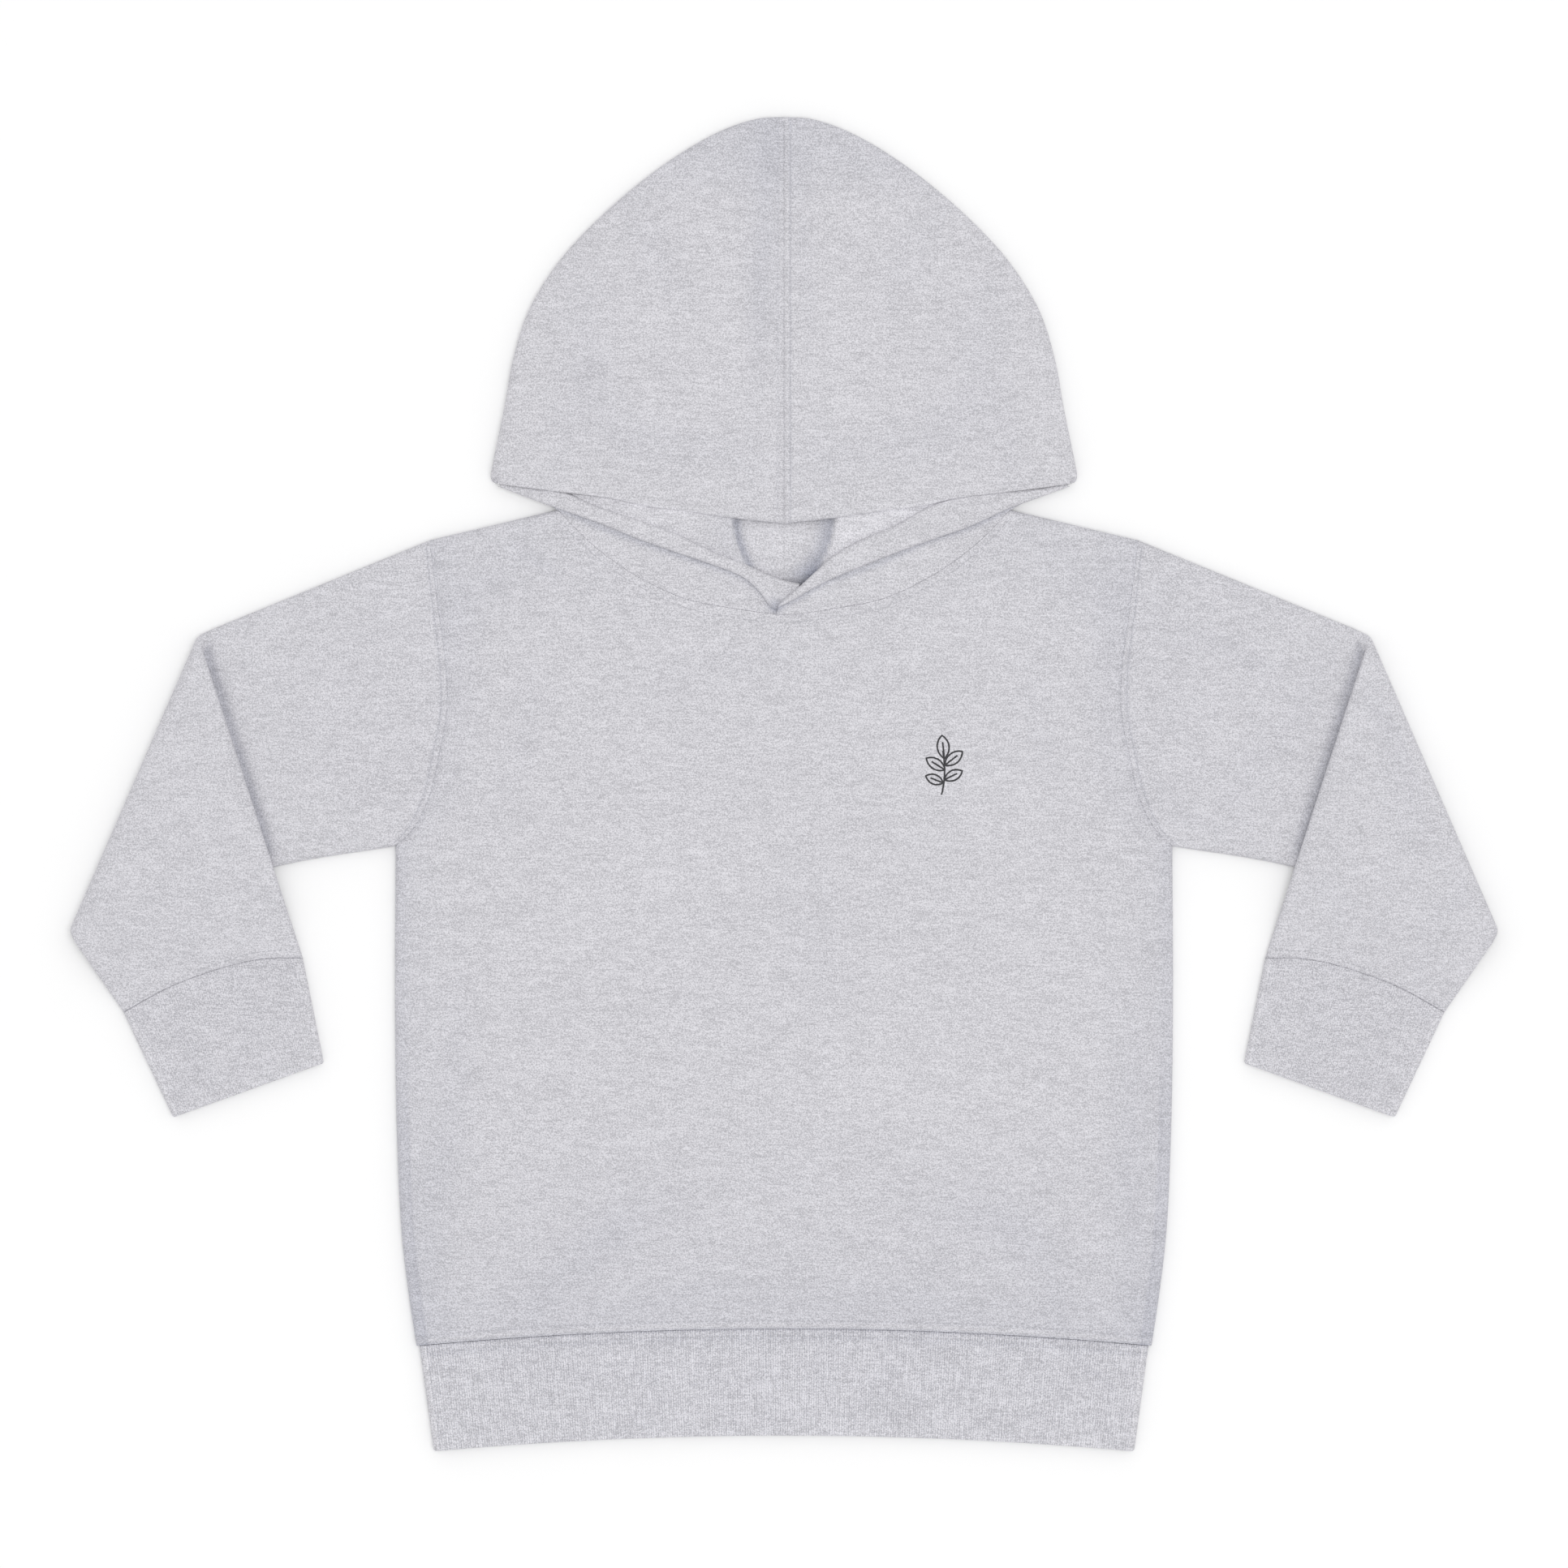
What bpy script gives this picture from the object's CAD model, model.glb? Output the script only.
import math

import bpy
import numpy as np
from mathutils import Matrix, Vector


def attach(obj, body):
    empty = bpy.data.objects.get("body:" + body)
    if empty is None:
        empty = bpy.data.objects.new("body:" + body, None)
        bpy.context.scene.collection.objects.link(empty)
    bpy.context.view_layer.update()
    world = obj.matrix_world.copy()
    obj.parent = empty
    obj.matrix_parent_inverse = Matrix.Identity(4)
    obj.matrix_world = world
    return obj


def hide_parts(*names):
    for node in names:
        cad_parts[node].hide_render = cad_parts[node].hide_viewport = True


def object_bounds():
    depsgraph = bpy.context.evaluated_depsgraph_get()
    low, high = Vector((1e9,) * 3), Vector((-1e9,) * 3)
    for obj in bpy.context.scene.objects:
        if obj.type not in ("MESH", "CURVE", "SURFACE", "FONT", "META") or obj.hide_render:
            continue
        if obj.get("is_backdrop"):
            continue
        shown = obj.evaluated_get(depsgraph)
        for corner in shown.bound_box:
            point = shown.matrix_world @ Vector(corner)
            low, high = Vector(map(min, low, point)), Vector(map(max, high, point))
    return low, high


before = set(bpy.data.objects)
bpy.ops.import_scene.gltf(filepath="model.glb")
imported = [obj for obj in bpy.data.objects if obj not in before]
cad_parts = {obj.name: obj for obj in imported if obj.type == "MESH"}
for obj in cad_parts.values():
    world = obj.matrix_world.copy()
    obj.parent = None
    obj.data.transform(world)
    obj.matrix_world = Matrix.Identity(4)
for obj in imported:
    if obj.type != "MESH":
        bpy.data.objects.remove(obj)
cad_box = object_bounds()

# Sizes below are millimetres in the row's own frame, and MM turns them into Blender's metres.
MM = 0.001

# Cloth and seams
WALL = 1.8
RIB_WALL = 2.4
BODY_EDGE = 2.6
SEAM_CLOSE = 0.04  # gap between two sewn edges
SEAM_DIP = 0.62
SEAM_REACH = 0.9
ARMHOLE_DIP = (0.65, 1.5)  # depth and reach
NECK_DIP = (0.18, 0.9)
RIB_PITCH = 1.1
RIB_HEIGHT = 0.26

# Body
CHEST_HALF = 172.1
UNDERARM = (CHEST_HALF, -27.5)
SHOULDER_TIP = (157, 108)
NECK_POINT = (100.1, 121.5)
HEM = (162.9, -248.9)
HEM_RISE = 7.7
FRONT_CROWN = 2.6
SIDE_SEAM = [HEM, (166, -228.4), (169.4, -199.6), (171.5, -156.4), (172.4, -98.8), UNDERARM]
ARMHOLE = [
    UNDERARM, (164, -19.5), (157, -5), (152.6, 14.2), (149.4, 32), (149.6, 50), (153.5, 80), SHOULDER_TIP
]
FRONT_NECK = [(0, 75.1), (22, 77.6), (44, 82), (66, 92.4), (82, 103.5), (94, 114.6), NECK_POINT]
BACK_NECK = [(0, 86.6), (35, 88.5), (65, 96), (85, 107), NECK_POINT]
NECK_PLACE = 0.18
UNDERARM_PLACE = 0.61
SIDE_WRAP = {"inset": 4.9, "wide": 0.5, "depth": 0.4, "top": -110, "fade": 50, "tone": 0.035}
ROW_SINK = {"depth": 0.16, "reach": 0.5, "tone": -0.045}  # how cloth sinks and darkens along a row of stitches
ARM_ROW = 2.0  # the row on the sleeve beside the armhole seam
HOOD_ROW = 2.8  # the row beside the hood's middle seam, on its left half
HOOD_ROW_TONE = {"left": 1.7, "right": 0.8}
HOOD_SHADE = {"x": 9, "wide": 9, "y": (165, 215), "depth": 0.035}  # on the right half, beside the seam
HEM_ROW = 3.9
BAND_SHADE = {"down": 3.8, "reach": 1.25}

CREASE_SHADE = 0.055  # tone of a crease, for each millimetre of its depth

# Soft creases of each cloth: middle x and y, direction in degrees, half length, half width, depth
FRONT_CREASES = [
    (-78, -202, 26, 34, 11, 0.8), (96, -198, 152, 32, 11, 0.8),
    (-132, 88, 62, 40, 12, 0.5), (134, 84, 120, 38, 12, 0.5),
    (-108, 96.5, -35, 13, 4, 0.6), (-163, -17, 60, 6, 2.4, 0.5),
    (-150, -150, 86, 70, 9, 0.7), (151, -160, 94, 64, 9, 0.7),
    (-40, -226, 8, 30, 6, 0.35), (52, -228, 170, 26, 6, 0.3),
    (-118, 20, 74, 36, 8, 0.35), (112, 30, 100, 30, 8, 0.3),
    (-20, 52, 12, 46, 9, 0.3), (30, -120, 160, 60, 14, -0.35),
    (-60, -40, 20, 70, 16, -0.35), (-108, -232, 70, 14, 5, 0.3),
    (120, -230, 112, 15, 5, 0.32), (8, -70, 95, 50, 18, 0.25),
]
BACK_CREASES = [
    (-66, -190, 24, 40, 11, 0.4), (88, -176, 150, 36, 10, 0.4), (-104, 60, 64, 38, 10, 0.35),
    (118, 50, 112, 34, 9, 0.35), (-30, -40, 12, 56, 12, 0.3), (52, 24, 166, 48, 10, 0.3),
    (-140, -120, 84, 50, 8, 0.3), (138, -90, 98, 46, 8, 0.3),
]

# Waistband
BAND_TOP = (161.6, -249.0)
BAND_END = (155.2, -295.7)
BAND_END_RISE = 7
BAND_EDGE = 2.75
BAND_CREASES = [
    (140, -264, 136, 17, 1.6, 0.75), (146, -262, 124, 12, 1.8, -0.35),
    (-148, -258, 60, 9, 2.2, 0.35), (-60, -268, 95, 20, 7, 0.3), (44, -270, 84, 18, 6, 0.3),
]

# Sleeve and cuff
FOLD_TOP = (259.6, 66.1)
FOLD_END = (316.9, -65.7)
FOREARM_INNER = (226.1, -36.9)
FOREARM_TOP = (257.8, 63.2)
FOREARM_DENT = {"beside": 0.4, "wide": 2.1, "depth": 1.9, "tone": -0.13}
SLEEVE_TONE = -0.012
SLEEVE_EDGE = 2.3
FOLD_RADIUS = 2 * SLEEVE_EDGE + 0.25
FOREARM_FALL = 45
SLEEVE_CROWN = 1.3
CUFF_SEAM = [(213.3, -77.2), (230.8, -77.6), (245.5, -80.5), (271.1, -89.5), (292.7, -101.3)]
CUFF_END = [(203.9, -123.7), (270.7, -147.8)]
CUFF_EDGE = 2.75
SLEEVE_CREASES = [
    (196, 58, 160, 30, 7, 0.4), (206, 0, 68, 34, 8, 0.35), (180, -14, 140, 16, 5, 0.4),
    (232, 40, 70, 26, 6, 0.3), (168, 84, 40, 14, 6, 0.3),
]
FOREARM_CREASES = [
    (276, 0, 112, 34, 8, 0.4), (296, -52, 60, 16, 6, 0.4), (240, -50, 150, 18, 6, 0.4),
    (262, 34, 118, 22, 6, 0.35), (282, -84, 100, 12, 5, 0.35),
]
CUFF_CREASES = [(236, -106, 70, 22, 7, 0.35), (262, -120, 60, 18, 6, 0.3)]

# Hood
HOOD_OUTLINE = [
    (0, 295.7), (12, 294.8), (29.2, 288.9), (53.3, 274.5), (79.7, 252.9),
    (99.9, 231.3), (113.2, 209.7), (120.1, 188.1), (124, 166.5), (129.2, 141), (129.9, 136.4), (129.3, 134.2),
    (127.4, 133.1),
]
HOOD_LIP = [(0, 115.4), (24, 118), (45, 121), (62, 123.2), (76, 126.4), (105, 130), (127, 132.9)]
HOOD_FOOT_CORNER = [(112, 127.4), (126, 132.6)]
HOOD_FOLD_CROWN = 2.4
HOOD_FOLD_CORNER = 4.05
HOOD_CORNER = {"start": 0.965, "shrink": 0.55}
HOOD_PUFF = 1.2
LIP_LEVEL = [(0, 6.2), (24, 6.5), (50, 6.6), (85, 7.4), (130, 7.4)]
LIP_ROUND = 2.0
LIP_EDGE = 0.3
PLEAT = {"rise": 3.3, "hole": 14.5, "slant": 7.5, "foot": 88, "top": 150, "outer": (90, 118)}
PLEAT_SOFT = {"left": 5, "right": 2}
INSIDE_TONE = {"left": 0.105, "right": 0.03}
INSIDE_FALL = {"left": 0.0, "right": 0.07}  # how much darker it gets towards the pleat
HOLE_TONE = 0.075
HOLE_SHADE = {"left": (0.31, 7.5), "right": (0.36, 3.2)}  # depth of tone, and its reach in from the pleat
HOLE_FOOT_SHADE = {"x": 10, "y": 91, "wide": 10, "tall": 6.5, "depth": 0.22}
LIP_EASE = {
    "left": [(40, 0), (52, 0.17), (68, 0.17), (80, 0)], "right": [
        (36, 0), (48, 0.13), (70, 0.13), (84, 0.11), (100, 0)
    ],
}  # how much lighter the cloth is along the lip where it lies soft on the pleat below
HOOD_SEAM_DIP = (0.4, 0.42)
PLEAT_FOOT = {"rise": 80, "slope": 0.43, "soft": 7}
HOOD_CREASES = [
    (10, 236, 92, 70, 5, 0.5), (44, 150, 20, 40, 12, 0.5), (84, 190, 70, 40, 12, 0.5),
    (60, 240, 50, 34, 10, 0.4), (100, 150, 110, 24, 9, 0.4), (30, 190, 100, 40, 14, -0.3),
]
HOOD_BACK_CREASES = [(34, 236, 104, 34, 7, 0.3), (70, 196, 40, 34, 9, 0.3), (96, 172, 112, 20, 8, 0.25)]

# The lower front of the hood, a row for each section from the outer corner to the chin:
# foot at the neck seam, roll at the top, free edge of the face opening, and the height of its underside at the
# roll and at the foot
FACE_LEFT = [
    (125.5, 131.6, 126, 133.8, 126.8, 131.9, 1.4, 1.3),
    (112, 126.9, 112, 131.5, 112, 126.5, 1.5, 2.2),
    (100.1, 121.6, 99, 130.2, 100.1, 122.2, 2, 2.8),
    (84, 105, 82, 128.2, 82.5, 114.2, 2.5, 2.85),
    (66, 92.4, 65, 123.2, 66, 108.4, 3.1, 2.9),
    (48, 83.3, 50.8, 115.4, 47, 101.4, 3.4, 2.9),
    (30, 78.9, 33.1, 107.5, 29, 94.2, 3.9, 2.9),
    (19, 77.1, 22.3, 101.3, 20.5, 90.5, 4.8, 3),
    (11, 75.9, 14.5, 94.5, 12, 86.2, 6.2, 3.6),
    (4, 75.3, 7, 87.6, 5, 82, 6.3, 4),
    (-3.4, 75.2, -2.2, 79.8, -2.8, 77.9, 6.3, 4),
]
FACE_RIGHT = [
    (125.5, 131.6, 126, 133.8, 126.8, 131.9, 1.4, 1.3),
    (112, 126.7, 112, 131.8, 112, 126.3, 1.5, 2.2),
    (100.1, 121.6, 98, 129.8, 99.6, 121.8, 2, 2.8),
    (82, 103.5, 84, 123.6, 80, 114.9, 2.5, 2.85),
    (65, 91.8, 66, 117.4, 64, 108.3, 3.1, 2.9),
    (49, 83.7, 48, 111, 46.5, 102.2, 3.4, 2.9),
    (32, 79.2, 31.7, 103.1, 30.5, 96.7, 3.2, 2.8),
    (20, 77.3, 17.3, 97.4, 18.5, 91.8, 2.6, 2.8),
    (11, 75.9, 8, 93.4, 11, 85.2, 2.1, 2.8),
    (4.5, 75.3, 1, 90.5, 5.5, 78.3, 2.1, 2.8),
    (-6, 75.4, -7, 88.8, -2.5, 77.2, 2.1, 2.8),
]
ROLL_GAP = 0.35
FOOT_TUCK = 0.03
EDGE_LIFT = {"left": 0.2, "right": 0.35}
EDGE_SHADE = 0.13
CHIN_SHADE = {"x": -4, "y": 79, "reach": 3, "depth": 0.2}
EDGE_ROUND = 1.9

# Small shapes in numpy


def lerp(a, b, t):
    """The value a share t of the way from a to b."""
    return a + (b - a) * t


def smooth(x, low, high):
    """0 below low, 1 above high, and an S curve between."""
    t = np.clip((x - low) / (high - low), 0, 1)
    return t * t * (3 - 2 * t)


def hermite(table, knots, places):
    """Reads a table of rows smoothly at places along its knots: a cubic between each two rows, whose slope at
    a row is that of the line through the rows on each side."""
    rows = np.asarray(table, float)
    slopes = np.gradient(rows, knots, axis=0)
    at = np.clip(np.searchsorted(knots, places, "right") - 1, 0, len(knots) - 2)
    span = (knots[at + 1] - knots[at])[..., None]
    t = ((places - knots[at])[..., None]) / span
    return (
        rows[at] * (2 * t**3 - 3 * t**2 + 1)
        + slopes[at] * span * (t**3 - 2 * t**2 + t)
        + rows[at + 1] * (3 * t**2 - 2 * t**3)
        + slopes[at + 1] * span * (t**3 - t**2)
    )


class Curve:
    """A smooth curve through points, read by the share of its length from 0 to 1."""

    def __init__(self, points, fine=1200):
        points = np.asarray(points, float)
        steps = np.hypot(*np.diff(points, axis=0).T) ** 0.5
        knots = np.concatenate([[0], np.cumsum(steps)])
        self.line = hermite(points, knots, np.linspace(0, knots[-1], fine))
        run = np.hypot(*np.diff(self.line, axis=0).T)
        self.share = np.concatenate([[0], np.cumsum(run)]) / run.sum()

    def __call__(self, t):
        t = np.clip(t, 0, 1)
        return np.stack([np.interp(t, self.share, self.line[:, i]) for i in (0, 1)], -1)


def mirrored(points):
    """The same points with x turned to the other side."""
    return [(-x, y) for x, y in points]


def neck_curve(neck):
    """The neck seam from one neck point to the other."""
    return Curve(mirrored(neck[:0:-1]) + neck)


def joined(first, second, share):
    """Two curves end to end, the first one up to the share given."""

    def read(t):
        t = np.asarray(t, float)
        return np.where((t < share)[..., None], first(t / share), second((t - share) / (1 - share)))

    return read


def straight(a, b):
    """The straight line from a to b, read by share."""
    return lambda t: lerp(np.asarray(a, float), np.asarray(b, float), np.asarray(t, float)[..., None])


def patch(foot, top, left, right, across, up):
    """Coons patch: the blend of foot and top, plus that of left and right, less that of the corners."""
    corner = lambda line, t: line(np.array(float(t)))
    u, v = across[..., None], up[..., None]
    rows = lerp(foot(across), top(across), v)
    sides = lerp(left(up), right(up), u)
    low = lerp(corner(foot, 0), corner(foot, 1), u)
    high = lerp(corner(top, 0), corner(top, 1), u)
    return rows + sides - lerp(low, high, v)


def crease_depth(creases, x, y):
    """Depth of the creases at each point: each is a trough that fades by a bell curve along and across."""
    depth = np.zeros_like(x)
    for cx, cy, angle, length, width, deep in creases:
        turn = math.radians(angle)
        along = ((x - cx) * math.cos(turn) + (y - cy) * math.sin(turn)) / length
        across = ((y - cy) * math.cos(turn) - (x - cx) * math.sin(turn)) / width
        sway = 0.35 * np.sin(along * 2.3 + cx)
        depth += deep * np.exp(-(along**2) - (across + sway) ** 2)
    return depth


def seam_dip(distance, depth=SEAM_DIP, reach=SEAM_REACH):
    """How far cloth sinks beside a sewn edge: a bell curve of the distance to it."""
    return depth * np.exp(-((distance / reach) ** 2))


def row_sink(distance, row):
    """1 along a row of stitches and 0 away from it: a bell curve of the distance to the row."""
    return np.exp(-(((distance - row) / ROW_SINK["reach"]) ** 2))


def shares(count, insets, length):
    """Places from 0 to 1, evenly spaced between close ones at the given insets from both ends."""
    edge = np.asarray(insets, float) / length
    return np.unique(np.concatenate([edge, np.linspace(edge[-1], 1 - edge[-1], count), 1 - edge]))


# Meshes


def add_mesh(name, points, quads, tone=None):
    """A mesh piece from points in millimetres and faces, turned so that its faces point outwards. Tone is how much
    lighter or darker its cloth is at each point, as a share."""
    points = np.asarray(points, np.float64).reshape(-1, 3)
    points[:, 2] = points[:, 2].clip(0)
    quads = np.asarray(quads, np.int64)
    a, b, c = (points[quads[:, i]] for i in (0, 1, 2))
    d = points[quads[:, 3]]
    volume = (np.cross(b - a, c - a) * a).sum() + (np.cross(c - a, d - a) * a).sum()
    if volume < 0:
        quads = quads[:, ::-1]
    mesh = bpy.data.meshes.new(name)
    mesh.vertices.add(len(points))
    mesh.vertices.foreach_set("co", (points * MM).astype(np.float32).ravel())
    mesh.loops.add(quads.size)
    mesh.loops.foreach_set("vertex_index", quads.astype(np.int32).ravel())
    mesh.polygons.add(len(quads))
    mesh.polygons.foreach_set("loop_start", np.arange(0, quads.size, 4, dtype=np.int32))
    mesh.polygons.foreach_set("use_smooth", np.ones(len(quads), bool))
    if tone is not None:
        shade = mesh.attributes.new("tone", "FLOAT", "POINT")
        shade.data.foreach_set("value", np.concatenate([np.ravel(part) for part in tone]).astype(np.float32))
    mesh.update(calc_edges=True)
    piece = bpy.data.objects.new(name, mesh)
    bpy.context.scene.collection.objects.link(piece)
    return piece


def grid_quads(rows, cols, start=0, ring=False):
    """Faces of a grid of points, rows by columns, joined round where it is a ring."""
    r, c = np.meshgrid(np.arange(rows - 1), np.arange(cols if ring else cols - 1), indexing="ij")
    n = (c + 1) % cols
    quads = np.stack([r * cols + c, r * cols + n, (r + 1) * cols + n, (r + 1) * cols + c], -1)
    return quads.reshape(-1, 4) + start


def wall(outer, inner, ring=False):
    """Points and faces of the wall between an outer and an inner grid, closed along its edges. A ring's inner grid
    may have fewer rows."""
    rows, cols = outer.shape[:2]
    size = rows * cols
    index = np.arange(size).reshape(rows, cols)
    inside = np.arange(size, size + len(inner) * cols).reshape(-1, cols)
    faces = [grid_quads(rows, cols, 0, ring), grid_quads(len(inner), cols, size, ring)[:, ::-1]]

    def close(line, partner, flip):
        ahead, far = (np.roll(a, -1) if ring else a[1:] for a in (line, partner))
        here, near = (a if ring else a[:-1] for a in (line, partner))
        strip = np.stack([here, near, far, ahead], -1)
        faces.append(strip[:, ::-1] if flip else strip)

    close(index[0], inside[0], False)
    close(index[-1], inside[-1], True)
    if not ring:
        close(index[:, 0], inside[:, 0], True)
        close(index[:, -1], inside[:, -1], False)
    return np.concatenate([outer.reshape(-1, 3), inner.reshape(-1, 3)]), np.concatenate(faces)


# Body panels


def body_lines(neck):
    """The four edges of a body panel: hem, top with the neck, and the two sides."""
    side = joined(Curve(SIDE_SEAM), Curve(ARMHOLE), UNDERARM_PLACE)
    neck_line = neck_curve(neck)
    shoulder = straight(SHOULDER_TIP, NECK_POINT)
    flip = np.array([-1, 1])

    def top(t):
        t = np.asarray(t, float)[..., None]
        left = shoulder(t[..., 0] / NECK_PLACE) * flip
        right = shoulder((1 - t[..., 0]) / NECK_PLACE)
        middle = neck_line((t[..., 0] - NECK_PLACE) / (1 - 2 * NECK_PLACE))
        return np.where(t < NECK_PLACE, left, np.where(t > 1 - NECK_PLACE, right, middle))

    def foot(t):
        t = np.asarray(t, float)
        return np.stack([lerp(-HEM[0], HEM[0], t), HEM[1] + HEM_RISE * (1 - (2 * t - 1) ** 2)], -1)

    return foot, top, lambda t: side(t) * flip, side


BODY_HEIGHT = SHOULDER_TIP[1] - HEM[1]


def body_surface(neck, face, across, up, depth, creases):
    """A body panel's points at a depth in from its outside. The height is the round edge's quarter circle, plus
    the crown, less the creases and the dips beside sewn edges. Face is 1 for the front and -1 for the back."""
    plan = patch(*body_lines(neck), across, up)
    x, y = plan[..., 0].copy(), plan[..., 1].copy()
    width = 2 * CHEST_HALF
    lower = up <= UNDERARM_PLACE
    side_way = np.minimum(across, 1 - across) * width
    top_way = (1 - up) * BODY_HEIGHT
    shoulder = (across <= NECK_PLACE + 1e-9) | (across >= 1 - NECK_PLACE - 1e-9)
    to_side = np.where(lower, side_way, np.inf)
    to_shoulder = np.where(shoulder, top_way, np.inf)
    inset = np.minimum(np.minimum(to_side, to_shoulder), BODY_EDGE)
    cos = (BODY_EDGE - inset) / BODY_EDGE
    rise = (BODY_EDGE - depth) * np.sqrt(1 - cos**2)
    on_side = to_side < to_shoulder
    x -= np.where(on_side, np.sign(x) * depth * cos, 0)
    y -= np.where(on_side, 0, depth * cos)
    z = BODY_EDGE + face * np.maximum(rise, SEAM_CLOSE / 2)
    if face > 0:
        full = (1 - (2 * across - 1) ** 4) * (1 - np.abs((up - 0.45) / 0.55) ** 3)
        calm = smooth(np.minimum(side_way, top_way), 0, 12) * smooth(up * BODY_HEIGHT, 0, 7)
        z += np.maximum(0, full) * FRONT_CROWN - calm * crease_depth(creases, x, y)
        z -= np.where(lower, 0, seam_dip(side_way, *ARMHOLE_DIP)) + np.where(
            shoulder, 0, seam_dip(top_way, *NECK_DIP)
        )
        hem_way = up * BODY_HEIGHT
        z += 0.35 * np.exp(-(((hem_way - 3) / 3.2) ** 2)) - seam_dip(hem_way)
        ridge = 0.2 * np.exp(-(((side_way - 3.1) / 1.2) ** 2))
        z += np.where(lower, 0, ridge) + np.where(shoulder, 0, 0.15 * np.exp(-(((top_way - 2.2) / 1.5) ** 2)))
        wrap = np.exp(-(((side_way - SIDE_WRAP["inset"]) / SIDE_WRAP["wide"]) ** 2))
        z -= SIDE_WRAP["depth"] * wrap * (
            1 - smooth(y, SIDE_WRAP["top"] - SIDE_WRAP["fade"], SIDE_WRAP["top"])
        )
    else:
        calm = smooth(np.minimum(side_way, top_way), 4, 20) * smooth(up * BODY_HEIGHT, 4, 20)
        z += calm * crease_depth(creases, x, y)
    return np.stack([x, y, z], -1)


ROUND_EDGE = [0, 0.04, 0.14, 0.32, 0.6, 1, 1.4, 1.9, 2.4, 2.9, 3.4, 3.9, 4.3, 4.6, 4.9, 5.2, 5.6, 6.2, 7]


def body_panel(name, neck, face, cols, rows, creases, insets=ROUND_EDGE):
    """A body panel as a closed wall."""
    u = np.unique(np.concatenate([shares(cols, insets, 2 * CHEST_HALF), [NECK_PLACE, 1 - NECK_PLACE]]))
    v = np.concatenate([shares(rows, insets, BODY_HEIGHT), [UNDERARM_PLACE, UNDERARM_PLACE + 0.004]])
    across, up = np.meshgrid(u, np.unique(v), indexing="xy")
    outer = body_surface(neck, face, across, up, 0, creases)
    inner = body_surface(neck, face, across, up, WALL, creases)
    side_way = np.minimum(across, 1 - across) * 2 * CHEST_HALF
    hem_way = up * BODY_HEIGHT
    at_side, at_neck = up <= UNDERARM_PLACE, (across > NECK_PLACE) & (across < 1 - NECK_PLACE)
    tone = 0.035 * np.exp(-(((hem_way - 1.7) / 1) ** 2)) - 0.025 * row_sink(hem_way, HEM_ROW)
    tone = tone - 0.035 * (1 - smooth(side_way, 3.5, 8)) * at_side - 0.03 * (1 - smooth(side_way, 6, 26))
    wrapped = 1 - smooth(outer[..., 1], SIDE_WRAP["top"] - SIDE_WRAP["fade"], SIDE_WRAP["top"])
    tone = tone - SIDE_WRAP["tone"] * (1 - smooth(side_way, SIDE_WRAP["inset"] + 0.3,
        SIDE_WRAP["inset"] + 1.5)) * wrapped
    tone = tone - 0.07 * np.exp(-((hem_way / 0.7) ** 2)) - 0.03 * (1 - smooth(hem_way, 0, 130))
    tone = tone - 0.025 * (1 - smooth(hem_way, 5, 35)) - 0.02 * smooth(outer[..., 1], 60, 110)
    tone = tone - 0.03 * np.exp(-((side_way / 0.9) ** 2)) * ~at_side
    tone = tone + 0.06 * np.exp(-(((1 - up) * BODY_HEIGHT / 0.8) ** 2)) * at_neck
    tone -= CREASE_SHADE * crease_depth(creases, outer[..., 0], outer[..., 1])
    return add_mesh(name, *wall(outer, inner), tone=(tone, tone * 0)), outer, across, up


# Tubes: sleeves, cuffs and waistband


def ring_plan(under, over, turns):
    """The places round a flattened tube as shares across it, with the layer (-1 under, 1 over, 0 edge), the
    edge's side (0 near, 1 far) and turn: along the underside, round the far edge, back over, round the near."""
    low, high = np.linspace(0, 1, under), np.linspace(1, 0, over)
    arc = np.linspace(-math.pi / 2, math.pi / 2, turns + 2)[1:-1]
    flat = lambda t, layer: np.stack([t, np.full_like(t, layer), np.zeros_like(t), np.zeros_like(t)], -1)
    edge = lambda turn, side: np.stack(
        [np.zeros_like(turn), np.zeros_like(turn), np.full_like(turn, side), turn], -1
    )
    return np.concatenate([flat(low, -1), edge(arc, 1), flat(high, 1), edge(arc[::-1], 0)])


def ring_places(plan, width, radius, depth):
    """For each row of a tube, the share across and the height of each place, for a wall depth in."""
    t, layer, side, turn = (plan[:, i][None, :] for i in range(4))
    width, radius, depth = (np.asarray(a, float).reshape(-1, 1) for a in (width, radius, depth))
    inset = (radius - (radius - depth) * np.cos(turn)) / width
    edge_across = np.where(side > 0, 1 - inset, inset)
    flat_across = lerp(radius / width, 1 - radius / width, t)
    flat_z = np.where(layer > 0, 2 * radius - depth, depth)
    edge_z = radius + (radius - depth) * np.sin(turn)
    on_edge = layer == 0
    return np.where(on_edge, edge_across, flat_across), np.where(on_edge, edge_z, flat_z), layer


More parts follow.
